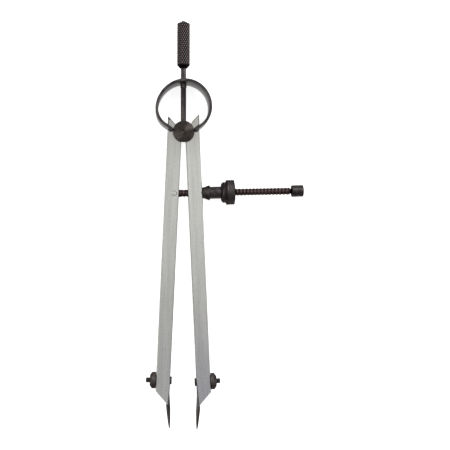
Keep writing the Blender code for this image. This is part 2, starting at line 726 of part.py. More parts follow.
def add_point(side, name, carrier):
    """A needle, the eye bolt whose head it passes through, and the nut that pulls the bolt tight."""
    tip, uphill = needle_line(side)
    heights = [NEEDLE_TAPER * (i / 7) ** 1.6 for i in range(7, 0, -1)]
    taper = [(NEEDLE_RADIUS * math.sqrt(height / NEEDLE_TAPER), height) for height in heights]
    profile = [(0, NEEDLE_LENGTH), (NEEDLE_RADIUS, NEEDLE_LENGTH), *taper, (0, 0)]
    needle = turned_mesh(name + "_needle", profile, steps=SMALL_STEPS)
    give_finish(add_object(name + "_needle", needle, carrier, tip, uphill), NEEDLE_STEEL, 0.3)

    outward = (side, 0, 0)
    middle = (0, -bolt_drop(side), 0)
    head_end = BOLT_HEAD_START + BOLT_HEAD_LENGTH
    dome = BOLT_RADIUS / 3
    profile = [
        (0, BOLT_REACH),
        (BOLT_RADIUS - dome, BOLT_REACH - dome / 3),
        (BOLT_RADIUS, BOLT_REACH - dome),
        (BOLT_RADIUS, head_end),
        (BOLT_HEAD_RADIUS, head_end),
        (BOLT_HEAD_RADIUS, BOLT_HEAD_START + dome),
        (BOLT_HEAD_RADIUS - dome, BOLT_HEAD_START),
        (0, BOLT_HEAD_START),
    ]
    shank = turned_mesh(name + "_eye_bolt", profile, steps=24)
    bolt = add_object(name + "_eye_bolt", shank, carrier, middle, outward)
    eye = drill(
        name + "_bolt_eye", NEEDLE_RADIUS + BORE_GAP, NEEDLE_LENGTH, carrier, tip, uphill, SMALL_STEPS,
    )
    combine(bolt, eye)
    give_finish(bolt, BROWNED_STEEL, 0.4)

    start = LEG_OUTER + SEAT_GAP
    end = start + CLAMP_NUT_THICKNESS
    bore = BOLT_RADIUS + BORE_GAP
    profile = [
        (bore, end),
        (CLAMP_NUT_FACE_RADIUS, end),
        (CLAMP_NUT_RADIUS, end - CLAMP_NUT_BEVEL),
        (CLAMP_NUT_RADIUS, start + SEAT_GAP),
        (CLAMP_NUT_RADIUS - SEAT_GAP, start),
        (bore, start),
    ]
    nut = turned_mesh(name + "_clamp_nut", profile, bored=True)
    give_finish(add_object(name + "_clamp_nut", nut, carrier, middle, outward), BROWNED_STEEL, 0.45)


def plan_bounds(pieces):
    """The lowest and highest corner of the pieces, with their modifiers applied."""
    bpy.context.view_layer.update()
    graph = bpy.context.evaluated_depsgraph_get()
    corners = []
    for piece in pieces:
        seen = piece.evaluated_get(graph)
        mesh = seen.to_mesh()
        corners += [seen.matrix_world @ vertex.co for vertex in mesh.vertices]
        seen.to_mesh_clear()
    low = Vector(map(min, *corners))
    high = Vector(map(max, *corners))
    return low, high


frame = axis_empty("fulcrum_axis")
left_swing = axis_empty("left_leg_axis", frame, turn=-REST_ANGLE)
right_swing = axis_empty("right_leg_axis", frame, turn=REST_ANGLE)
screw_swivel = axis_empty(
    "screw_axis", left_swing, (-PIVOT_ACROSS, -PIVOT_DROP, 0), screw_angle(0) + REST_ANGLE,
)
collar_swivel = axis_empty(
    "collar_axis", right_swing, (BALL_ACROSS, -BALL_DROP, 0), screw_angle(0) - REST_ANGLE,
)

left_leg = add_leg(LEFT, "left_leg", left_swing)
cut_swivel_pocket(left_leg, left_swing)
right_leg = add_leg(RIGHT, "right_leg", right_swing)
cut_screw_slot(right_leg, right_swing)
add_fulcrum(frame)
add_handle(frame)
add_bow(frame)
add_screw(screw_swivel)
add_swivel_pin(left_swing)
add_collar(collar_swivel)
add_nut(collar_swivel)
add_point(LEFT, "left", left_swing)
add_point(RIGHT, "right", right_swing)

lowest, highest = plan_bounds([thing for thing in PARTS.objects if thing.type != "EMPTY"])
frame.location = (-(lowest.x + highest.x) / 2, -(lowest.y + highest.y) / 2, -lowest.z)
bpy.context.view_layer.update()
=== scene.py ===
import json
import math

import bmesh
import bpy
from mathutils import Matrix, Vector


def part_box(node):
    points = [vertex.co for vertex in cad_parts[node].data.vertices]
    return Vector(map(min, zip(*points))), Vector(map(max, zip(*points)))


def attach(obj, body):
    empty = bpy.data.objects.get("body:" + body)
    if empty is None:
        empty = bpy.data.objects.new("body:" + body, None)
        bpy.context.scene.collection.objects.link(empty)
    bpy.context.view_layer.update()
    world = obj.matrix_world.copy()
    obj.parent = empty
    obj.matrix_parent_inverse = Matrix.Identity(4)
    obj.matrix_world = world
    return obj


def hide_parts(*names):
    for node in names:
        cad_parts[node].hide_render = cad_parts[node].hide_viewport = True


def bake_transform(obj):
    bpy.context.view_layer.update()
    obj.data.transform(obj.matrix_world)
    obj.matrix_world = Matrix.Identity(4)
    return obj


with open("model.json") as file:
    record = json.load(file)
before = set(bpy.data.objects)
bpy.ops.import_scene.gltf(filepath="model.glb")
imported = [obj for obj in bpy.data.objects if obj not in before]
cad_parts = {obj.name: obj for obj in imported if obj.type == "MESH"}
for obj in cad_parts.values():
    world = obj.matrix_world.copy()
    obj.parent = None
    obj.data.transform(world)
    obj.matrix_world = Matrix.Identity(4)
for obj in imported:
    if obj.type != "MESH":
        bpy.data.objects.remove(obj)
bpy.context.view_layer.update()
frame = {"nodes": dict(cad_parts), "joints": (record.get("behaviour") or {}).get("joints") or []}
joints = {joint["name"]: joint for joint in frame["joints"]}


# Fulcrum stud: the hub that both legs roll on, between two flanges. It is turned in one piece from
# steel and browned. Its front flange is slightly domed, and the lathe's marks still show on it.

MM = 0.001
FULCRUM = Vector(joints["left_leg_hinge"]["pos_m"])
FRONT = Vector((0, 0, 1))


def reach(node, start, direction):
    """Where a node begins and ends along an axis, and its greatest radius round it."""
    axis = Vector(direction).normalized()
    heights = []
    radii = []
    for vertex in frame["nodes"][node].data.vertices:
        step = vertex.co - Vector(start)
        height = step.dot(axis)
        heights.append(height)
        radii.append((step - axis * height).length)
    return min(heights), max(heights), max(radii)


def eased(profile, closed):
    """Outline of (radius, height, easing in mm) corners, each rounded over by its easing."""
    count = len(profile)
    outline = []
    for i, (radius, height, easing) in enumerate(profile):
        corner = Vector((radius, height))
        if easing == 0 or (not closed and i in (0, count - 1)):
            outline.append(corner)
            continue
        before = Vector(profile[i - 1][:2]) - corner
        after = Vector(profile[(i + 1) % count][:2]) - corner
        cut = min(easing * MM, 0.4 * before.length, 0.4 * after.length)
        start = corner + before.normalized() * cut
        end = corner + after.normalized() * cut
        outline.append(corner + before.normalized() * cut * 1.2)
        for step in range(5):
            share = step / 4
            outline.append(start.lerp(corner, share).lerp(corner.lerp(end, share), share))
        outline.append(corner + after.normalized() * cut * 1.2)
    return outline


def as_piece(shape, name):
    """Turns a built shape into an object of the scene."""
    mesh = bpy.data.meshes.new(name)
    shape.to_mesh(mesh)
    shape.free()
    piece = bpy.data.objects.new(name, mesh)
    bpy.context.scene.collection.objects.link(piece)
    return piece


def turned(name, profile, closed=False, steps=64):
    """Turns a profile that runs down the outer side, about Z, with a UV map that follows the lathe."""
    outline = eased(profile, closed)
    shape = bmesh.new()
    lathe = shape.loops.layers.uv.new("lathe")
    rings = []
    run = [0.0]
    for i, spot in enumerate(outline):
        if i:
            run.append(run[-1] + (spot - outline[i - 1]).length / MM)
        if spot.x < 0.001 * MM:
            rings.append([shape.verts.new((0, 0, spot.y))] * steps)
            continue
        ring = []
        for step in range(steps):
            angle = math.tau * step / steps
            ring.append(shape.verts.new((spot.x * math.cos(angle), spot.x * math.sin(angle), spot.y)))
        rings.append(ring)
    pairs = [(i, i + 1) for i in range(len(rings) - 1)]
    if closed:
        pairs.append((len(rings) - 1, 0))
    for upper, lower in pairs:
        for step in range(steps):
            after = (step + 1) % steps
            spots = [
                (rings[upper][step], step, run[upper]),
                (rings[lower][step], step, run[lower]),
                (rings[lower][after], step + 1, run[lower]),
                (rings[upper][after], step + 1, run[upper]),
            ]
            corners = []
            for spot in spots:
                if spot[0] not in [corner[0] for corner in corners]:
                    corners.append(spot)
            face = shape.faces.new([corner[0] for corner in corners])
            face.smooth = True
            for loop, corner in zip(face.loops, corners):
                loop[lathe].uv = (corner[1] / steps, corner[2])
    return as_piece(shape, name)


def lay(piece, start, direction):
    """Lays a piece that was made round Z on its axis in the divider, with its place in its mesh."""
    turn = Vector((0, 0, 1)).rotation_difference(Vector(direction))
    piece.data.transform(Matrix.Translation(Vector(start)) @ turn.to_matrix().to_4x4())
    return piece


def fitted(piece, body, finish, slot, *nodes):
    """Gives a finished piece its material, its body and the solids that it stands for, if any."""
    piece.data.materials.clear()
    piece.data.materials.append(finish)
    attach(piece, body)
    if nodes:
        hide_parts(*nodes)


def linked(tree, kind, *sources, **settings):
    """Adds a node and fills its inputs in order, from sockets or plain values. None skips one."""
    node = tree.nodes.new(kind)
    for setting, value in settings.items():
        setattr(node, setting, value)
    for socket, source in zip(node.inputs, sources):
        if isinstance(source, bpy.types.NodeSocket):
            tree.links.new(source, socket)
        elif source is not None:
            socket.default_value = source
    return node


def number(tree, operation, *sources):
    """Adds a Math node and gives its result."""
    return linked(tree, "ShaderNodeMath", *sources, operation=operation).outputs[0]


def graded(tree, source, start, end, first, last):
    """Goes from a first to a last value while the source goes from a start to an end."""
    return linked(tree, "ShaderNodeMapRange", source, start, end, first, last).outputs["Result"]


def ramp(tree, source, dark, light, low=0.35, high=0.65):
    """Turns a pattern's value into a colour between a dark and a light one."""
    node = linked(tree, "ShaderNodeValToRGB", source)
    node.color_ramp.elements[0].position = low
    node.color_ramp.elements[1].position = high
    node.color_ramp.elements[0].color = (*dark, 1)
    node.color_ramp.elements[1].color = (*light, 1)
    return node.outputs["Color"]


def mixed(tree, share, under, over):
    """Lays a plain colour over another one by a share."""
    mix = linked(tree, "ShaderNodeMix", data_type="RGBA")
    tree.links.new(share, mix.inputs["Factor"])
    if isinstance(under, bpy.types.NodeSocket):
        tree.links.new(under, mix.inputs["A"])
    else:
        mix.inputs["A"].default_value = (*under, 1)
    mix.inputs["B"].default_value = (*over, 1)
    return mix.outputs["Result"]


def noise(tree, place, scale, detail):
    """Adds a noise texture and gives its value."""
    return linked(tree, "ShaderNodeTexNoise", place, None, scale, detail).outputs[0]


def streaked(tree, place, squeeze, detail, start=(0, 0, 0), lean=0.0):
    """Noise that is squeezed by a factor along each axis, counted from a start and along a lean."""
    sizes = [1 / factor for factor in squeeze]
    laid = linked(tree, "ShaderNodeMapping", place, start, (0, 0, lean), sizes, vector_type="TEXTURE")
    return noise(tree, laid.outputs[0], 1, detail)


def lathe_marks(tree, fineness, waver):
    """Fine rings round a turned piece, from noise that is short along the lathe's feed."""
    uv = linked(tree, "ShaderNodeUVMap", uv_map="lathe").outputs[0]
    return streaked(tree, uv, (waver, fineness, 1), 3)


def cloudiness(tree, size, detail=4):
    """Soft patches of about the given size, fixed to the object."""
    return noise(tree, linked(tree, "ShaderNodeTexCoord").outputs["Object"], 1 / size, detail)


def metal(name, metallic=1.0):
    """Starts a metal finish, and gives it with its node tree and its shader."""
    finish = bpy.data.materials.new(name)
    finish.use_nodes = True
    shader = finish.node_tree.nodes["Principled BSDF"]
    shader.inputs["Metallic"].default_value = metallic
    return finish, finish.node_tree, shader


def raised(tree, shader, pattern, strength, height):
    """Raises a pattern on the surface by a height in mm."""
    bump = linked(tree, "ShaderNodeBump")
    bump.inputs["Strength"].default_value = strength
    bump.inputs["Distance"].default_value = height * MM
    tree.links.new(pattern, bump.inputs["Height"])
    tree.links.new(bump.outputs[0], shader.inputs["Normal"])


def brushed(tree, shader, uv_map, amount):
    """Stretches the gloss across the fine marks that run along a UV map."""
    shader.inputs["Anisotropic"].default_value = amount
    tangent = linked(tree, "ShaderNodeTangent", direction_type="UV_MAP", uv_map=uv_map)
    tree.links.new(tangent.outputs[0], shader.inputs["Tangent"])


def browned_steel(name, dark, light, roughness, fineness=9, mark_height=0.02, edge=0.35):
    """Browned, oiled steel off the lathe: patchy oxide, fine rings, and a gloss that changes with them."""
    finish, tree, shader = metal(name)
    shader.inputs["Specular Tint"].default_value = (edge, edge, edge, 1)
    marks = lathe_marks(tree, fineness, 5)
    clouds = cloudiness(tree, 2.2 * MM)
    blend = number(tree, "MULTIPLY_ADD", marks, 0.45, number(tree, "MULTIPLY", clouds, 0.55))
    tree.links.new(ramp(tree, blend, dark, light), shader.inputs["Base Color"])
    gloss = number(tree, "MULTIPLY_ADD", clouds, 0.24, roughness - 0.12)
    tree.links.new(gloss, shader.inputs["Roughness"])
    raised(tree, shader, marks, 0.7, mark_height)
    return finish


FLANGE_THICKNESS = 1.3 * MM
CROWN_RISE = 0.35 * MM
CENTRE_PIP = 0.35 * MM
HUB_RADIUS = 3.5 * MM
FLANGE_EASING = 0.22

rear_face, front_centre, flange_radius = reach("fulcrum_stud", FULCRUM, FRONT)
front_face = front_centre - CROWN_RISE
front_back = front_face - FLANGE_THICKNESS
rear_radius = max(
    math.hypot(*(vertex.co - FULCRUM).xy)
    for vertex in frame["nodes"]["fulcrum_stud"].data.vertices
    if vertex.co.z < FULCRUM.z
)
dome = [
    (flange_radius * share, front_centre - CROWN_RISE * share ** 2, 0)
    for share in (0.12, 0.25, 0.4, 0.55, 0.7, 0.83, 0.93)
]
stud_profile = [
    (0, front_centre - CENTRE_PIP, 0),
    (0.045 * flange_radius, front_centre - CENTRE_PIP / 2, 0),
    *dome,
    (flange_radius, front_face, FLANGE_EASING),
    (flange_radius, front_back, FLANGE_EASING),
    (HUB_RADIUS, front_back, 0),
    (HUB_RADIUS, -front_back, 0),
    (rear_radius, -front_back, FLANGE_EASING),
    (rear_radius, rear_face, FLANGE_EASING),
    (0, rear_face, 0),
]
stud = lay(turned("turned_stud", stud_profile, steps=128), FULCRUM, FRONT)
stud_finish = browned_steel(
    "browned_stud", (0.034, 0.027, 0.025), (0.090, 0.078, 0.072), 0.38, fineness=6, mark_height=0.012,
)
stud_shader = stud_finish.node_tree.nodes["Principled BSDF"]
brushed(stud_finish.node_tree, stud_shader, "lathe", 0.93)
stud_shader.inputs["Anisotropic Rotation"].default_value = 0.25
fitted(stud, "frame", stud_finish, "browned_steel", "fulcrum_stud")


# Handle stem: a thin drawn rod set in the hub. It passes through the bow, and a shoulder under the
# strip carries the pull of the handle.

HANDLE_WAY = Vector((0, 1, 0))
STEM_SHOULDER_RADIUS = 1.56 * MM
STEM_SHOULDER_LENGTH = 2.1 * MM
STEM_RADIUS = 1.36 * MM

stem_foot, stem_top, _ = reach("handle_stem", FULCRUM, HANDLE_WAY)
shoulder_top = max(
    (vertex.co - FULCRUM).y
    for vertex in frame["nodes"]["handle_stem"].data.vertices
    if math.hypot(vertex.co.x - FULCRUM.x, vertex.co.z - FULCRUM.z) > 1.1 * STEM_RADIUS
)
shoulder_foot = shoulder_top - STEM_SHOULDER_LENGTH
stem_profile = [
    (0, stem_top, 0),
    (STEM_RADIUS, stem_top, 0.1),
    (STEM_RADIUS, shoulder_top, 0),
    (STEM_SHOULDER_RADIUS, shoulder_top, 0.15),
    (STEM_SHOULDER_RADIUS, shoulder_foot, 0.2),
    (STEM_RADIUS, shoulder_foot, 0),
    (STEM_RADIUS, stem_foot, 0.1),
    (0, stem_foot, 0),
]
stem = lay(turned("drawn_stem", stem_profile, steps=40), FULCRUM, HANDLE_WAY)
stem_finish = browned_steel(
    "browned_stem", (0.105, 0.090, 0.089), (0.190, 0.168, 0.166), 0.55,
    fineness=1.2, mark_height=0.008, edge=0.9,
)
fitted(stem, "frame", stem_finish, "browned_steel", "handle_stem")


# Handle grip: turned bar with a cone at both ends. Two wheels have pressed crossing grooves into it,
# which leaves small diamonds whose tips are rubbed a little brighter by fingers.


def press_tree(name, sizes, pattern):
    """A node tree that presses a pattern into a piece turned about Z, and marks its crests with 1."""
    tree = bpy.data.node_groups.new(name, "GeometryNodeTree")
    put = tree.interface.new_socket
    put(name="Geometry", in_out="INPUT", socket_type="NodeSocketGeometry")
    for size in (*sizes, "Depth", "Start", "End", "Fade", "Inner radius"):
        kind = "NodeSocketInt" if size == "Rows around" else "NodeSocketFloat"
        put(name=size, in_out="INPUT", socket_type=kind)
    put(name="Finish", in_out="INPUT", socket_type="NodeSocketMaterial")
    put(name="Geometry", in_out="OUTPUT", socket_type="NodeSocketGeometry")
    given = tree.nodes.new("NodeGroupInput").outputs

    position = tree.nodes.new("GeometryNodeInputPosition").outputs[0]
    x, y, z = linked(tree, "ShaderNodeSeparateXYZ", position).outputs
    turn = number(tree, "DIVIDE", number(tree, "ARCTAN2", y, x), math.tau)
    height = pattern(tree, given, turn, z)

    rise = number(tree, "DIVIDE", number(tree, "SUBTRACT", z, given["Start"]), given["Fade"])
    fall = number(tree, "DIVIDE", number(tree, "SUBTRACT", given["End"], z), given["Fade"])
    inside = number(tree, "MINIMUM", number(tree, "MINIMUM", rise, fall), 1)
    radius = number(tree, "SQRT", number(tree, "MULTIPLY_ADD", x, x, number(tree, "MULTIPLY", y, y)))
    outer = number(tree, "GREATER_THAN", radius, given["Inner radius"])
    share = number(tree, "MULTIPLY", number(tree, "MAXIMUM", inside, 0), outer)
    press = number(tree, "MULTIPLY", number(tree, "SUBTRACT", height, 1), share)
    sink = number(tree, "DIVIDE", number(tree, "MULTIPLY", press, given["Depth"]), radius)
    inward = [number(tree, "MULTIPLY", part, sink) for part in (x, y)]
    move = linked(tree, "ShaderNodeCombineXYZ", *inward, 0.0).outputs[0]

    marked = linked(
        tree, "GeometryNodeStoreNamedAttribute", given["Geometry"], data_type="FLOAT", domain="POINT",
    )
    marked.inputs["Name"].default_value = "crest"
    tree.links.new(number(tree, "MULTIPLY", height, share), marked.inputs["Value"])
    pressed = linked(tree, "GeometryNodeSetPosition", marked.outputs[0])
    tree.links.new(move, pressed.inputs["Offset"])
    real = linked(tree, "GeometryNodeRealizeInstances", pressed.outputs[0])
    dressed = linked(tree, "GeometryNodeSetMaterial", real.outputs[0])
    tree.links.new(given["Finish"], dressed.inputs["Material"])
    linked(tree, "NodeGroupOutput", dressed.outputs[0])
    return tree


def diamonds(tree, given, turn, z):
    """Height of a diamond knurl: 1 on its blunt tips and 0 in its grooves."""
    around = number(tree, "MULTIPLY", turn, given["Rows around"])
    along = number(tree, "DIVIDE", z, given["Row length"])
    ridges = []
    for operation in ("ADD", "SUBTRACT"):
        phase = number(tree, operation, around, along)
        ridges.append(number(tree, "MULTIPLY", number(tree, "PINGPONG", phase, 0.5), 2))
    sharp = number(tree, "MINIMUM", *ridges)
    return number(tree, "MINIMUM", number(tree, "MULTIPLY", sharp, TIP_BLUNTNESS), 1)


def kept(piece):
    """Makes what a piece's modifiers give its plain mesh."""
    graph = bpy.context.evaluated_depsgraph_get()
    mesh = bpy.data.meshes.new_from_object(piece.evaluated_get(graph))
    mesh.name = piece.name
    piece.modifiers.clear()
    piece.data = mesh
    return piece


def shaped_by(piece, tree, **values):
    """Runs a node tree on a piece and keeps the result."""
    nodes = piece.modifiers.new(tree.name, "NODES")
    nodes.node_group = tree
    for item in tree.interface.items_tree:
        key = item.name.replace(" ", "_").lower()
        if item.in_out == "INPUT" and key in values:
            nodes[item.identifier] = values[key]
    return kept(piece)


def span(start, end, count):
    """Evenly spaced profile points from one (radius, height) point to another, both ends left out."""
    steps = [Vector(start).lerp(Vector(end), i / count) for i in range(1, count)]
    return [(step.x, step.y, 0) for step in steps]


def knurled_steel(name, dark, light, tip_colour, roughness):
    """Browned steel whose grooves are dark and whose rubbed tips are brighter."""
    finish = browned_steel(name, dark, light, roughness, fineness=3, mark_height=0.01)
    tree = finish.node_tree
    colour = tree.nodes["Principled BSDF"].inputs["Base Color"]
    crest = linked(tree, "ShaderNodeAttribute", attribute_name="crest").outputs["Fac"]
    brightened = graded(tree, crest, 0.5, 0.8, 0.0, 1.0)
    tree.links.new(mixed(tree, brightened, colour.links[0].from_socket, tip_colour), colour)
    return finish


GRIP_NECK_RADIUS = 1.75 * MM
GRIP_BORE = 1.51 * MM
GRIP_CONE = 1.5 * MM
GRIP_POINT = 1.6 * MM
BORE_END_GAP = 0.3 * MM
DIAMOND_ROWS = 17
DIAMOND_LENGTH = 2.1 * MM
DIAMOND_DEPTH = 0.32 * MM
TIP_BLUNTNESS = 1.35

grip_start, grip_top, grip_radius = reach("handle_grip", FULCRUM, HANDLE_WAY)
knurl_start = grip_start + GRIP_CONE
knurl_end = grip_top - GRIP_POINT
grip_profile = [
    (0, grip_top, 0),
    *span((0, grip_top), (grip_radius, knurl_end), 16),
    (grip_radius, knurl_end, 0),
    *span((grip_radius, knurl_end), (grip_radius, knurl_start), 150),
    (grip_radius, knurl_start, 0),
    *span((grip_radius, knurl_start), (GRIP_NECK_RADIUS, grip_start), 10),
    (GRIP_NECK_RADIUS, grip_start, 0),
    (GRIP_BORE, grip_start, 0),
    (GRIP_BORE, stem_top + BORE_END_GAP, 0),
    (0, stem_top + BORE_END_GAP, 0),
]
pressed_knurl = press_tree("pressed_knurl", ["Rows around", "Row length"], diamonds)
grip_finish = knurled_steel(
    "knurled_grip", (0.008, 0.006, 0.006), (0.022, 0.017, 0.018), (0.215, 0.18, 0.184), 0.42,
)
grip = turned("knurled_handle", grip_profile, steps=176)
shaped_by(
    grip, pressed_knurl, rows_around=DIAMOND_ROWS, row_length=DIAMOND_LENGTH, depth=DIAMOND_DEPTH,
    start=knurl_start - 0.2 * MM, end=knurl_end + 0.9 * MM, fade=0.4 * MM,
    inner_radius=0.55 * grip_radius, finish=grip_finish,
)
fitted(lay(grip, FULCRUM, HANDLE_WAY), "frame", grip_finish, "knurled_steel", "handle_grip")


# Bow spring: a flat strip of spring steel, bent round and blackened in the hardening. Its two straight
# tails sit in notches in the ears. It is drawn here in two halves, one on each side.

BOW_HEIGHT = 12.1 * MM
BOW_RADIUS = 13.4 * MM
HIP_RADIUS = 10.95 * MM
HIP_ANGLE = math.radians(51.7)
TAIL_LENGTH = 4.55 * MM
STRIP_THICKNESS = 1.36 * MM
STRIP_EDGE = 0.2 * MM
STRIP_SET = {-1: (-0.55 * MM, 0.35 * MM), 1: (0.3 * MM, 0.0)}
SET_FADE = 0.45
STEM_HOLE_GAP = 0.3 * MM
REAR_SHEEN_HEIGHT = 8.5 * MM
SHARP = math.radians(40)


def arc(centre, radius, start, end, count):
    """Points round an arc, both ends with it."""
    angles = [start + (end - start) * i / count for i in range(count + 1)]
    return [Vector(centre) + radius * Vector((math.cos(a), math.sin(a))) for a in angles]


def strip_line():
    """Mid-line of the bow's right half, from its top to the end of its tail."""
    centre = Vector((0, BOW_HEIGHT))
    crown = arc(centre, BOW_RADIUS, math.pi / 2, 0, 60)
    hip = arc(centre + Vector((BOW_RADIUS - HIP_RADIUS, 0)), HIP_RADIUS, 0, -HIP_ANGLE, 30)
    slope = math.pi / 2 - HIP_ANGLE
    way = Vector((math.cos(slope), math.sin(slope)))
    tail = [hip[-1] - way * TAIL_LENGTH * share for share in (0.25, 0.5, 0.75, 1.0)]
    return crown + hip[1:] + tail


def strip_section(half_width):
    """Outline of the strip's cross-section as (outward, upward), with rounded edges."""
    half = STRIP_THICKNESS / 2
    corners = [(half, half_width), (half, -half_width), (-half, -half_width), (-half, half_width)]
    points = []
    for i, (x, y) in enumerate(corners):
        start = math.pi / 2 * (1 - i)
        inner = (x - math.copysign(STRIP_EDGE, x), y - math.copysign(STRIP_EDGE, y))
        points += arc(inner, STRIP_EDGE, start, start - math.pi / 2, 3)
    return points


def set_by_use(spot, side):
    """Moves a point of the strip out or in, as the bow is a little out of round from years of use."""
    radial = spot - Vector((0, BOW_HEIGHT))
    turn = math.atan2(radial.y, radial.x)
    upper, lower = STRIP_SET[side]
    bulge = upper * max(0, math.sin(2 * turn))
    bulge -= lower * min(0, math.sin(2 * turn)) * min(1, max(0, (turn + HIP_ANGLE) / SET_FADE))
    return spot + radial.normalized() * bulge


def strip_half(name, side, half_width):
    """One half of the bow, swept along the strip's line."""
    line = strip_line()
    section = strip_section(half_width)
    shape = bmesh.new()
    rings = []
    for i, spot in enumerate(line):
        way = (line[min(i + 1, len(line) - 1)] - line[max(i - 1, 0)]).normalized()
        if i == 0:
            way = Vector((1, 0))
        outward = Vector((-way.y, way.x))
        spot = set_by_use(spot, side)
        ring = []
        for out, up in section:
            flat = spot + outward * out
            ring.append(shape.verts.new((side * flat.x, flat.y, up)))
        rings.append(ring)
    for before, after in zip(rings, rings[1:]):
        for i, corner in enumerate(before):
            follow = (i + 1) % len(before)
            shape.faces.new((corner, before[follow], after[follow], after[i]))
    shape.faces.new(rings[0])
    shape.faces.new(rings[-1])
    bmesh.ops.recalc_face_normals(shape, faces=shape.faces)
    half = as_piece(shape, name)
    half.data.shade_smooth()
    half.data.set_sharp_from_angle(angle=SHARP)
    half.data.transform(Matrix.Translation(FULCRUM))
    return half


def drilled(piece, radius, length, start, way, sides):
    """Drills a hole through a piece, with the drill's middle at a start, and keeps the result."""
    shape = bmesh.new()
    bmesh.ops.create_cone(shape, cap_ends=True, segments=sides, radius1=radius, radius2=radius, depth=length)
    drill = lay(as_piece(shape, "drill"), start, way)
    hole = piece.modifiers.new("hole", "BOOLEAN")
    hole.object = drill
    hole.solver = "EXACT"
    kept(piece)
    bpy.data.objects.remove(drill)


def blackened_strip():
    """Hardened strip: dark scale with a grain along the strip, and a painted reflection that lightens it
    towards its rear edge.
    """
    finish, tree, shader = metal("blackened_strip", 0.9)
    place = linked(tree, "ShaderNodeTexCoord").outputs["Object"]
    streaks = streaked(tree, place, (120, 120, 2600), 4)
    clouds = cloudiness(tree, 3 * MM)
    blend = number(tree, "MULTIPLY_ADD", streaks, 0.5, number(tree, "MULTIPLY", clouds, 0.5))
    scale = ramp(tree, blend, (0.036, 0.030, 0.031), (0.115, 0.104, 0.102), 0.40, 0.62)
    height = linked(tree, "ShaderNodeSeparateXYZ", place).outputs[2]
    # Painted reflection: a pale, streaky band along the strip's rear edge.
    by_rear = graded(tree, height, REAR_SHEEN_HEIGHT, 0.0, 0.0, 1.25)
    brightened = number(tree, "MULTIPLY", by_rear, number(tree, "MULTIPLY_ADD", streaks, 1.7, -0.35))
    colour = mixed(tree, brightened, scale, (0.52, 0.515, 0.505))
    tree.links.new(colour, shader.inputs["Base Color"])
    tree.links.new(number(tree, "MULTIPLY_ADD", streaks, 0.2, 0.26), shader.inputs["Roughness"])
    raised(tree, shader, streaks, 0.5, 0.01)
    return finish


bow_low, bow_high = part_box("bow_spring")
bow_top = FULCRUM + HANDLE_WAY * (BOW_HEIGHT + BOW_RADIUS)
bow_finish = blackened_strip()
for side, name, leg in ((-1, "bow_left_half", "left_leg"), (1, "bow_right_half", "right_leg")):
    half = strip_half(name, side, (bow_high.z - bow_low.z) / 2)
    drilled(half, STEM_RADIUS + STEM_HOLE_GAP, 6 * MM, bow_top, HANDLE_WAY, 40)
    half.data.materials.clear()
    half.data.materials.append(bow_finish)
    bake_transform(half)
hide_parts("bow_spring")


# Legs: flat bars of mild steel, ground along their length and left bright. Their edges are just
# broken, and the holes, notches and slots are those of the solids, so the solids stay.

# Colour at the top of each leg, and the painted reflection that it goes over to towards each foot: lighter on
# the left leg, darker and bluer on the right.
TOP_COLOUR = {"left": (0.585, 0.585, 0.555), "right": (0.620, 0.620, 0.590)}
FOOT_PAINTED_REFLECTION = {"left": (0.69, 0.69, 0.685), "right": (0.60, 0.60, 0.635)}
LEFT_EAR_NICK = (7.2, 6.1)
SIDE_SHIFT = 20.0


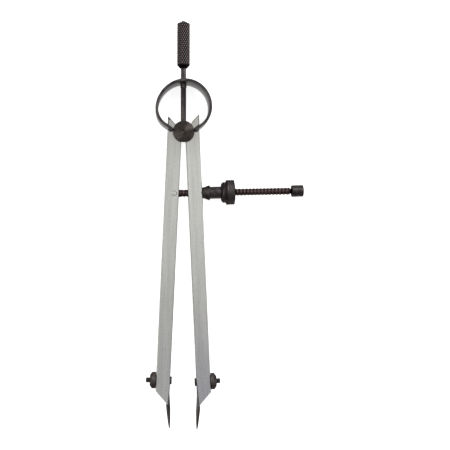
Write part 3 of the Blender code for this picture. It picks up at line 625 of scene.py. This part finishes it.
def ground_steel(name, lean, top_colour, foot_reflection, nick=None):
    """Satin steel with a fine grain along a leg. Places on it are in mm across and along from the fulcrum."""
    finish, tree, shader = metal(name)
    brushed(tree, shader, "grain", 0.8)
    place = linked(tree, "ShaderNodeTexCoord").outputs["Object"]
    start = (FULCRUM.x, FULCRUM.y, 0)
    streaks = streaked(tree, place, (3200, 60, 3200), 5, start, lean)
    bands = streaked(tree, place, (620, 26, 620), 3, start, lean)
    specks = cloudiness(tree, 1.1 * MM, 6)
    tone = number(tree, "MULTIPLY_ADD", streaks, 0.4, number(tree, "MULTIPLY", bands, 0.35))
    tone = number(tree, "MULTIPLY_ADD", specks, 0.25, tone)
    shade = ramp(tree, tone, (0.90, 0.90, 0.90), (1.10, 1.10, 1.10), 0.38, 0.62)

    uv = linked(tree, "ShaderNodeUVMap", uv_map="grain").outputs[0]
    across, along, _ = linked(tree, "ShaderNodeSeparateXYZ", uv).outputs
    # Painted reflection: towards the foot the colour blends into a lighter tone on the left leg and a bluer
    # one on the right.
    towards_foot = graded(tree, along, -85.0, -132.0, 0.0, 1.0)
    plain = mixed(tree, towards_foot, top_colour, foot_reflection)
    steel = linked(tree, "ShaderNodeVectorMath", shade, plain, operation="MULTIPLY").outputs[0]

    by_stud = graded(tree, along, -16.0, 6.0, 0.0, 0.8)
    handled = number(tree, "MULTIPLY", by_stud, number(tree, "ADD", specks, 0.2))
    steel = mixed(tree, handled, steel, (0.37, 0.355, 0.32))

    # Painted shade: the inner edge is darkened towards the foot, along the needle's hole. The nick at the
    # left ear's tip is a real chip and gets the same dark colour.
    inner_edge = number(tree, "SUBTRACT", across, graded(tree, along, -125.0, -137.0, 0.0, 0.85))
    by_needle = graded(tree, along, -100.0, -124.0, 0.0, 1.0)
    edge_shade_and_nick = number(tree, "MULTIPLY", graded(tree, inner_edge, 0.90, 1.08, 0.9, 0.0), by_needle)
    if nick:
        away = linked(tree, "ShaderNodeVectorMath", uv, (*nick, 0), operation="DISTANCE").outputs["Value"]
        edge_shade_and_nick = number(tree, "MAXIMUM", edge_shade_and_nick, graded(tree, away, 0.45, 0.9, 0.95, 0.0))
    steel = mixed(tree, edge_shade_and_nick, steel, (0.11, 0.10, 0.09))

    # Painted shade: the side faces of the leg get 0.7 of the colour, and are a little rougher too.
    on_side = number(tree, "GREATER_THAN", across, 0.75 * SIDE_SHIFT)
    painted_side_shade = number(tree, "MULTIPLY_ADD", on_side, -0.3, 1.0)
    steel = linked(tree, "ShaderNodeVectorMath", steel, painted_side_shade, operation="MULTIPLY").outputs[0]
    tree.links.new(steel, shader.inputs["Base Color"])
    rough = number(tree, "MULTIPLY_ADD", bands, 0.14, 0.19)
    tree.links.new(number(tree, "MULTIPLY_ADD", on_side, 0.12, rough), shader.inputs["Roughness"])
    raised(tree, shader, streaks, 0.5, 0.006)
    return finish


def bolt_way(side):
    """The direction of a leg's eye bolt, which is square to the leg."""
    return Vector(joints[side + "_clamp_nut_turn"]["axis"])


def grained(mesh, across):
    """Maps a mesh across and along its leg, in mm from the fulcrum, with its sides shifted away."""
    along = Vector((-across.y, across.x, 0)) * math.copysign(1, across.x)
    grain = mesh.uv_layers.new(name="grain")
    for face in mesh.polygons:
        flat = abs(face.normal.z) > 0.5
        for index in face.loop_indices:
            spot = (mesh.vertices[mesh.loops[index].vertex_index].co - FULCRUM) / MM
            if flat:
                grain.data[index].uv = (spot.dot(across), spot.dot(along))
            else:
                grain.data[index].uv = (SIDE_SHIFT + spot.z, spot.dot(along + across * 0.2))


leg_finish = {}
for side, nick in (("left", LEFT_EAR_NICK), ("right", None)):
    across = bolt_way(side)
    lean = math.atan(across.y / across.x)
    leg_finish[side] = ground_steel(
        "ground_" + side + "_leg", lean, TOP_COLOUR[side], FOOT_PAINTED_REFLECTION[side], nick,
    )
    leg = frame["nodes"][side + "_leg"]
    grained(leg.data, across)
    leg.data.materials.clear()
    leg.data.materials.append(leg_finish[side])


# Swivel pin: hard steel wire through the left leg and the screw's eye. It was driven in and ground
# off with the leg, so only a thin ring shows.

PIN_EASING = 0.12
PIN_CROWN = 0.03 * MM

pivot = Vector(joints["screw_swivel"]["pos_m"])
pin_low, pin_high, pin_radius = reach("swivel_pin", pivot, FRONT)
pin_profile = [
    (0, pin_high, 0),
    (pin_radius * 0.6, pin_high, 0),
    (pin_radius, pin_high - PIN_CROWN, PIN_EASING),
    (pin_radius, pin_low + PIN_CROWN, PIN_EASING),
    (pin_radius * 0.6, pin_low, 0),
    (0, pin_low, 0),
]
pin = lay(turned("driven_pin", pin_profile, steps=32), pivot, FRONT)
grained(pin.data, bolt_way("left"))
fitted(pin, "left_leg", leg_finish["left"], "satin_steel", "swivel_pin")


# Adjusting screw: a rod with a coarse thread whose crests and roots are rounded by rolling. One end is
# forged flat into the eye that the pin goes through, and the other is turned down for the stop knob.

SCREW_RADIUS = 1.82 * MM
NECK_RADIUS = 1.3 * MM
NECK_LENGTH = 0.6 * MM
EYE_RADIUS = 2.35 * MM
EYE_HALF = 1.74 * MM
PIN_HOLE = 1.25 * MM
THREAD_PITCH = 1.82 * MM
THREAD_DEPTH = 0.27 * MM


def rounded_thread(tree, given, turn, z):
    """Height of a rounded thread: 1 on its crest and 0 at its root."""
    turns = number(tree, "DIVIDE", z, given["Pitch"])
    phase = number(tree, "MULTIPLY", number(tree, "SUBTRACT", turns, turn), math.tau)
    return number(tree, "MULTIPLY_ADD", number(tree, "COSINE", phase), 0.5, 0.5)


screw_way = Vector(joints["quick_release"]["axis"])
_, screw_end, _ = reach("adjusting_screw", pivot, screw_way)
knob_start, knob_end, knob_radius = reach("stop_knob", pivot, screw_way)
thread_end = knob_start - NECK_LENGTH
screw_profile = [
    (0, screw_end, 0),
    (NECK_RADIUS, screw_end, 0.1),
    (NECK_RADIUS, thread_end, 0),
    (SCREW_RADIUS, thread_end, 0.15),
    *span((SCREW_RADIUS, thread_end - 0.3 * MM), (SCREW_RADIUS, EYE_RADIUS), 420),
    (SCREW_RADIUS, 0, 0),
    (0, 0, 0),
]
rolled_thread = press_tree("rolled_thread", ["Pitch"], rounded_thread)
screw_finish = knurled_steel(
    "rolled_screw", (0.027, 0.016, 0.0155), (0.054, 0.036, 0.036), (0.082, 0.058, 0.057), 0.45,
)
screw = turned("rolled_screw", screw_profile, steps=40)
shaped_by(
    screw, rolled_thread, pitch=THREAD_PITCH, depth=THREAD_DEPTH, start=EYE_RADIUS + 0.6 * MM,
    end=thread_end - 0.1 * MM, fade=0.7 * MM, inner_radius=1.05 * NECK_RADIUS, finish=screw_finish,
)
fitted(lay(screw, pivot, screw_way), "screw", screw_finish, "thread_steel", "adjusting_screw")

eye_profile = [
    (PIN_HOLE, EYE_HALF, 0.1),
    (EYE_RADIUS, EYE_HALF, 0.35),
    (EYE_RADIUS, -EYE_HALF, 0.35),
    (PIN_HOLE, -EYE_HALF, 0.1),
]
eye = lay(turned("forged_eye", eye_profile, closed=True, steps=48), pivot, FRONT)
fitted(eye, "screw", screw_finish, "thread_steel")


# Stop knob: a plain cap, turned from steel and browned. It is riveted on the turned-down end of the
# screw, so that the nut can't run off.

KNOB_BORE = 1.45 * MM
KNOB_SEAT = 0.5 * MM

knob_profile = [
    (0, knob_end, 0),
    (0.35 * knob_radius, knob_end, 0),
    (0.85 * knob_radius, knob_end - 0.06 * MM, 0),
    (knob_radius, knob_end - 0.12 * MM, 0.3),
    (knob_radius, knob_start + KNOB_SEAT, 0.3),
    (KNOB_BORE, knob_start + KNOB_SEAT, 0.15),
    (KNOB_BORE, screw_end + BORE_END_GAP, 0),
    (0, screw_end + BORE_END_GAP, 0),
]
dark_cap = browned_steel("browned_cap", (0.026, 0.022, 0.023), (0.086, 0.076, 0.077), 0.38, fineness=7)
knob = lay(turned("stop_cap", knob_profile, steps=72), pivot, screw_way)
fitted(knob, "screw", dark_cap, "browned_steel", "stop_knob")


# Thrust collar: turned steel with a ball nose that rocks in the right leg's cup. The cone inside its
# lip closes the nut's jaws on the thread when the bow presses the leg against it.

ball = Vector(joints["collar_rocking"]["pos_m"])
NUT_BORE = 2.18 * MM
BALL_RADIUS = 2.85 * MM
BALL_HEIGHT = 0.15 * MM
LIP_HEIGHT = 2.7 * MM
LIP_BEVEL = 0.3 * MM
CONE_FLOOR = 1.3 * MM
CONE_FLOOR_RADIUS = 2.70 * MM
CONE_MOUTH_RADIUS = 3.46 * MM

_, collar_end, lip_radius = reach("thrust_collar", ball, screw_way)
nose_end = -math.acos(NUT_BORE / BALL_RADIUS)
nose_start = math.asin(BALL_HEIGHT / BALL_RADIUS)
nose = [(spot.x, spot.y, 0) for spot in arc((0, 0), BALL_RADIUS, nose_start, nose_end, 16)]
collar_profile = [
    (lip_radius - LIP_BEVEL, collar_end, 0.12),
    (lip_radius, LIP_HEIGHT, 0.15),
    *nose,
    (NUT_BORE, CONE_FLOOR, 0),
    (CONE_FLOOR_RADIUS, CONE_FLOOR, 0),
    (CONE_MOUTH_RADIUS, collar_end, 0.08),
]
collar = lay(turned("ball_collar", collar_profile, closed=True, steps=72), ball, screw_way)
collar_finish = browned_steel(
    "browned_collar", (0.032, 0.028, 0.026), (0.100, 0.091, 0.086), 0.40, fineness=6,
)
fitted(collar, "collar", collar_finish, "browned_steel", "thrust_collar")


# Nut jaws: one threaded sleeve, sawn in two. A small open ring of wire inside parts the halves when
# the thrust is off, so that the nut slides freely along the screw.

SLEEVE_RADIUS = 3.05 * MM
NOSE_RADIUS = 2.5 * MM
NOSE_HEIGHT = 1.6 * MM
NOSE_TAPER = 1.3 * MM
HEAD_THICKNESS = 1.5 * MM
SAW_CUT = 0.4 * MM
WIRE_SEAT_START = 9.75 * MM
WIRE_SEAT_END = 10.95 * MM
WIRE_SEAT_RADIUS = 2.75 * MM

jaw_finish = browned_steel("browned_jaws", (0.030, 0.025, 0.026), (0.105, 0.093, 0.095), 0.36, fineness=5)
_, head_end, head_radius = reach("upper_nut_jaw", ball, screw_way)
head_start = head_end - HEAD_THICKNESS
jaw_profile = [
    (head_radius, head_end, 0.1),
    (head_radius, head_start, 0.1),
    (SLEEVE_RADIUS, head_start, 0),
    (SLEEVE_RADIUS, NOSE_HEIGHT + NOSE_TAPER, 0.2),
    (NOSE_RADIUS, NOSE_HEIGHT, 0.1),
    *span((NUT_BORE, NOSE_HEIGHT), (NUT_BORE, WIRE_SEAT_START), 60),
    (NUT_BORE, WIRE_SEAT_START, 0),
    (WIRE_SEAT_RADIUS, WIRE_SEAT_START, 0),
    (WIRE_SEAT_RADIUS, WIRE_SEAT_END, 0),
    (NUT_BORE, WIRE_SEAT_END, 0),
    *span((NUT_BORE, WIRE_SEAT_END), (NUT_BORE, head_end), 20),
]
for name, outward in (("upper", FRONT), ("lower", -FRONT)):
    sleeve = lay(turned(name + "_half_jaw", jaw_profile, closed=True), ball, screw_way)
    shape = bmesh.new()
    shape.from_mesh(sleeve.data)
    bmesh.ops.bisect_plane(
        shape, geom=[*shape.verts, *shape.edges, *shape.faces], plane_co=ball + outward * SAW_CUT / 2,
        plane_no=outward, clear_inner=True,
    )
    rims = [edge for edge in shape.edges if edge.is_boundary]
    bmesh.ops.contextual_create(shape, geom=rims)
    shape.to_mesh(sleeve.data)
    shape.free()
    sleeve.data.set_sharp_from_angle(angle=SHARP)
    fitted(sleeve, name + "_jaw", jaw_finish, "browned_steel", name + "_nut_jaw")

wire_finish = browned_steel(
    "bright_wire", (0.16, 0.15, 0.145), (0.24, 0.225, 0.22), 0.3, fineness=1, mark_height=0.005,
)
wire = frame["nodes"]["jaw_spring"].data
wire.materials.clear()
wire.materials.append(wire_finish)


# Nut body: the part the fingers hold. A rounded shoulder and a groove lead to the wide rim, which
# is lightly knurled. The end ring is pressed in behind the jaws' heads.

BODY_START = 8.85 * MM
SHOULDER_LENGTH = 1.75 * MM
SHOULDER_MOUTH = 3.8 * MM
SHOULDER_TOP = 5.33 * MM
GROOVE_WIDTH = 0.5 * MM
GROOVE_DEPTH = 0.55 * MM
RIM_START = 2.65 * MM
RIM_STEP = 0.35 * MM
RIM_ROUNDING = 0.6
FACE_CROWN = 0.275 * MM
BODY_BORE = 3.55 * MM
HEAD_ROOM = 0.3 * MM
RING_ROOM = 0.45 * MM

_, body_end, rim_radius = reach("nut_body", ball, screw_way)
ring_start, ring_end, ring_radius = reach("nut_end_ring", ball, screw_way)
rim_face = body_end - FACE_CROWN
groove_start = BODY_START + SHOULDER_LENGTH
groove_end = groove_start + GROOVE_WIDTH
swell = SHOULDER_TOP - SHOULDER_MOUTH
shoulder = []
for step in range(12, -1, -1):
    angle = math.radians(7.5 * step)
    radius = SHOULDER_MOUTH + swell * math.sin(angle)
    shoulder.append((radius, groove_start - SHOULDER_LENGTH * math.cos(angle), 0))
rim_low = BODY_START + RIM_START
ring_bore = ring_radius + HEAD_ROOM
body_profile = [
    (ring_bore, body_end, 0.08),
    *span((ring_bore, body_end), (rim_radius, rim_face), 6),
    (rim_radius, rim_face, 0.4),
    *span((rim_radius, rim_face), (rim_radius, rim_low), 56),
    (rim_radius, rim_low, RIM_ROUNDING),
    (SHOULDER_TOP + RIM_STEP, rim_low, 0.08),
    (SHOULDER_TOP + RIM_STEP, groove_end, 0.12),
    (SHOULDER_TOP - GROOVE_DEPTH, groove_end, 0.05),
    (SHOULDER_TOP - GROOVE_DEPTH, groove_start, 0.05),
    *shoulder,
    (BODY_BORE, BODY_START, 0.1),
    (BODY_BORE, head_start - HEAD_ROOM, 0),
    (head_radius + HEAD_ROOM, head_start - HEAD_ROOM, 0),
    (head_radius + HEAD_ROOM, ring_start - RING_ROOM, 0),
    (ring_bore, ring_start - RING_ROOM, 0),
]
body_finish = knurled_steel(
    "browned_nut", (0.034, 0.028, 0.028), (0.080, 0.068, 0.068), (0.090, 0.076, 0.076), 0.38,
)
nut_body = turned("finger_nut", body_profile, closed=True, steps=240)
shaped_by(
    nut_body, pressed_knurl, rows_around=44, row_length=0.95 * MM, depth=0.14 * MM,
    start=rim_low + 0.5 * MM, end=rim_face - 0.3 * MM, fade=0.3 * MM,
    inner_radius=0.97 * rim_radius, finish=body_finish,
)
fitted(lay(nut_body, ball, screw_way), "nut", body_finish, "browned_steel", "nut_body")

ring_profile = [
    (NUT_BORE, ring_end, 0.15),
    (ring_radius, ring_end - FACE_CROWN, 0.1),
    (ring_radius, ring_start, 0.1),
    (NUT_BORE, ring_start, 0.1),
]
end_ring = lay(turned("pressed_ring", ring_profile, closed=True, steps=72), ball, screw_way)
fitted(end_ring, "nut", dark_cap, "browned_steel", "nut_end_ring")


# Needles: hardened, polished wire, ground to a long slender point. Each sits in a slanting hole that
# breaks out of its leg's inner edge, and can be drawn out and reground.

NEEDLE_TAPER = 10.0 * MM


def polished_steel():
    """Hardened steel, polished, with a brownish temper and fine grinding rings at the point."""
    finish, tree, shader = metal("polished_needle")
    marks = lathe_marks(tree, 5, 2)
    temper = ramp(tree, cloudiness(tree, 2.5 * MM), (0.050, 0.042, 0.039), (0.115, 0.104, 0.099))
    tree.links.new(temper, shader.inputs["Base Color"])
    tree.links.new(number(tree, "MULTIPLY_ADD", marks, 0.16, 0.28), shader.inputs["Roughness"])
    raised(tree, shader, marks, 0.4, 0.006)
    return finish


def needle_line(side):
    """The tip of a needle, and the direction that it slides in."""
    spots = [vertex.co for vertex in frame["nodes"][side + "_needle"].data.vertices]
    return min(spots, key=lambda spot: spot.y).copy(), Vector(joints[side + "_needle_reach"]["axis"])


needle_finish = polished_steel()
for side in ("left", "right"):
    tip, needle_way = needle_line(side)
    _, needle_top, needle_radius = reach(side + "_needle", tip, needle_way)
    taper = []
    for i in range(24, 0, -1):
        height = NEEDLE_TAPER * (i / 24) ** 1.6
        taper.append((needle_radius * math.sqrt(height / NEEDLE_TAPER), height, 0))
    needle_profile = [(0, needle_top, 0), (needle_radius, needle_top, 0.15), *taper, (0, 0, 0)]
    needle = lay(turned(side + "_ground_needle", needle_profile, steps=40), tip, needle_way)
    fitted(needle, side + "_needle", needle_finish, "needle_steel", side + "_needle")


# Eye bolts and clamp nuts: the bolt's round head is drilled crosswise for the needle, and the
# chamfered nut outside the leg draws the head back, which grips the needle in its hole.

BOLT_RADIUS = 1.3 * MM
BOLT_PITCH = 0.5 * MM
BOLT_THREAD_DEPTH = 0.16 * MM
HEAD_END = 4.82 * MM
EYE_HOLE = 1.21 * MM
NUT_BORE_EASE = 0.15 * MM
NUT_SEAT = 0.24 * MM
NUT_FACE_RADIUS = 2.6 * MM
NUT_CHAMFER = 1.1 * MM

bolt_finish = knurled_steel(
    "browned_bolt", (0.024, 0.021, 0.021), (0.062, 0.055, 0.056), (0.085, 0.078, 0.078), 0.36,
)
clamp_finish = knurled_steel(
    "browned_clamp_nut", (0.020, 0.017, 0.016), (0.105, 0.092, 0.088), (0.13, 0.115, 0.11), 0.42,
)
for side in ("left", "right"):
    way = bolt_way(side)
    centre = Vector(joints[side + "_clamp_nut_turn"]["pos_m"])
    bolt_start, bolt_end, bolt_head_radius = reach(side + "_eye_bolt", centre, way)
    bolt_profile = [
        (0, bolt_end, 0),
        (0.5 * BOLT_RADIUS, bolt_end - 0.03 * MM, 0),
        (BOLT_RADIUS, bolt_end - 0.2 * MM, 0.2),
        *span((BOLT_RADIUS, bolt_end - 0.4 * MM), (BOLT_RADIUS, HEAD_END), 90),
        (BOLT_RADIUS, HEAD_END, 0),
        (bolt_head_radius, HEAD_END, 0.15),
        *span((bolt_head_radius, HEAD_END), (bolt_head_radius, bolt_start), 10),
        (bolt_head_radius, bolt_start, 0.4),
        (0, bolt_start, 0),
    ]
    bolt = turned(side + "_bolt", bolt_profile, steps=48)
    shaped_by(
        bolt, rolled_thread, pitch=BOLT_PITCH, depth=BOLT_THREAD_DEPTH, start=HEAD_END + 1 * MM,
        end=bolt_end - 0.15 * MM, fade=0.2 * MM, inner_radius=0.6 * BOLT_RADIUS, finish=bolt_finish,
    )
    lay(bolt, centre, way)
    tip, needle_way = needle_line(side)
    drilled(bolt, EYE_HOLE, 80 * MM, tip, needle_way, 32)
    bolt.data.set_sharp_from_angle(angle=SHARP)
    fitted(bolt, side + "_leg", bolt_finish, "browned_steel", side + "_eye_bolt")

    nut_start, nut_end, nut_radius = reach(side + "_clamp_nut", centre, way)
    nut_start -= NUT_SEAT
    chamfer_start = nut_end - NUT_CHAMFER
    clamp_profile = [
        (BOLT_RADIUS + NUT_BORE_EASE, nut_end, 0.15),
        (NUT_FACE_RADIUS, nut_end, 0.12),
        (nut_radius, chamfer_start, 0.08),
        *span((nut_radius, chamfer_start), (nut_radius, nut_start), 26),
        (nut_radius, nut_start, 0.12),
        (BOLT_RADIUS + NUT_BORE_EASE, nut_start, 0.1),
    ]
    clamp = turned(side + "_chamfered_nut", clamp_profile, closed=True, steps=192)
    shaped_by(
        clamp, pressed_knurl, rows_around=32, row_length=0.8 * MM, depth=0.12 * MM,
        start=nut_start + 0.15 * MM, end=chamfer_start - 0.1 * MM, fade=0.2 * MM,
        inner_radius=0.97 * nut_radius, finish=clamp_finish,
    )
    lay(clamp, centre, way)
    fitted(clamp, side + "_clamp_nut", clamp_finish, "browned_steel", side + "_clamp_nut")


# Floor, light and camera: a white table under soft light from the upper right, seen from
# straight above with the camera a little left of the divider.

FLOOR_HALF = 1.5
SEEN_GLOW = 0.77
MIRRORED_GLOW = 0.4


def white_table():
    """A white table that shows as plain white, with only a breath of shadow next to the divider."""
    finish, tree, shader = metal("white_table", 0.0)
    shader.inputs["Base Color"].default_value = (0.9, 0.9, 0.9, 1)
    shader.inputs["Roughness"].default_value = 0.9
    shader.inputs["Specular IOR Level"].default_value = 0.1
    rays = tree.nodes.new("ShaderNodeLightPath").outputs
    glow = linked(tree, "ShaderNodeEmission", (1, 1, 1, 1))
    seen = number(tree, "MULTIPLY", rays["Is Camera Ray"], SEEN_GLOW)
    seen = number(tree, "MULTIPLY_ADD", rays["Is Glossy Ray"], MIRRORED_GLOW, seen)
    tree.links.new(seen, glow.inputs["Strength"])
    surface = linked(tree, "ShaderNodeAddShader", shader.outputs[0], glow.outputs[0])
    tree.links.new(surface.outputs[0], tree.nodes["Material Output"].inputs["Surface"])
    return finish


floor_shape = bmesh.new()
bmesh.ops.create_grid(floor_shape, x_segments=4, y_segments=4, size=FLOOR_HALF)
table_top = as_piece(floor_shape, "table_top")
table_top.data.materials.append(white_table())

world = bpy.data.worlds.new("studio")
bpy.context.scene.world = world
world.use_nodes = True
studio = world.node_tree
sky = studio.nodes["Background"]
sky.inputs["Color"].default_value = (1, 1, 1, 1)
way_out = linked(studio, "ShaderNodeTexCoord").outputs["Generated"]
_, upper, overhead = linked(studio, "ShaderNodeSeparateXYZ", way_out).outputs
tent = linked(studio, "ShaderNodeMapRange", upper, -0.22, 0.0, 0.44, 0.86, interpolation_type="SMOOTHSTEP")
fall_off = number(studio, "MULTIPLY_ADD", overhead, 0.75, 0.25)
glow = number(studio, "MULTIPLY", tent.outputs["Result"], fall_off)
is_camera = studio.nodes.new("ShaderNodeLightPath").outputs["Is Camera Ray"]
studio.links.new(number(studio, "MAXIMUM", glow, is_camera), sky.inputs["Strength"])


def softbox(name, place, size, power):
    """A square lamp of the given side in metres that faces the middle of the table."""
    lamp = bpy.data.lights.new(name, "AREA")
    lamp.shape = "SQUARE"
    lamp.size = size
    lamp.energy = power
    holder = bpy.data.objects.new(name, lamp)
    holder.location = place
    holder.rotation_euler = (-Vector(place)).to_track_quat("-Z", "Y").to_euler()
    bpy.context.scene.collection.objects.link(holder)


softbox("key_right", (0.45, 0.50, 0.5), 0.5, 4.0)
softbox("fill_left", (-0.55, -0.10, 0.45), 0.6, 1.2)

AIM = FULCRUM + Vector((20.9, -46.76, 2.8)) * MM
STAND = FULCRUM + Vector((-14.0, -44.5, 367.8)) * MM
ROLL = math.radians(0.08)
lens = bpy.data.cameras.new("camera")
lens.lens = 58.13
lens.sensor_width = 36
lens.clip_start = 0.01
camera = bpy.data.objects.new("camera", lens)
camera.location = STAND
back = (STAND - AIM).normalized()
right = Vector((0, 1, 0)).cross(back).normalized()
camera.rotation_euler = Matrix((right, back.cross(right), back)).transposed().to_euler()
camera.rotation_euler.rotate_axis("Z", ROLL)
bpy.context.scene.collection.objects.link(camera)
bpy.context.scene.camera = camera
bpy.context.scene.view_settings.view_transform = "Standard"
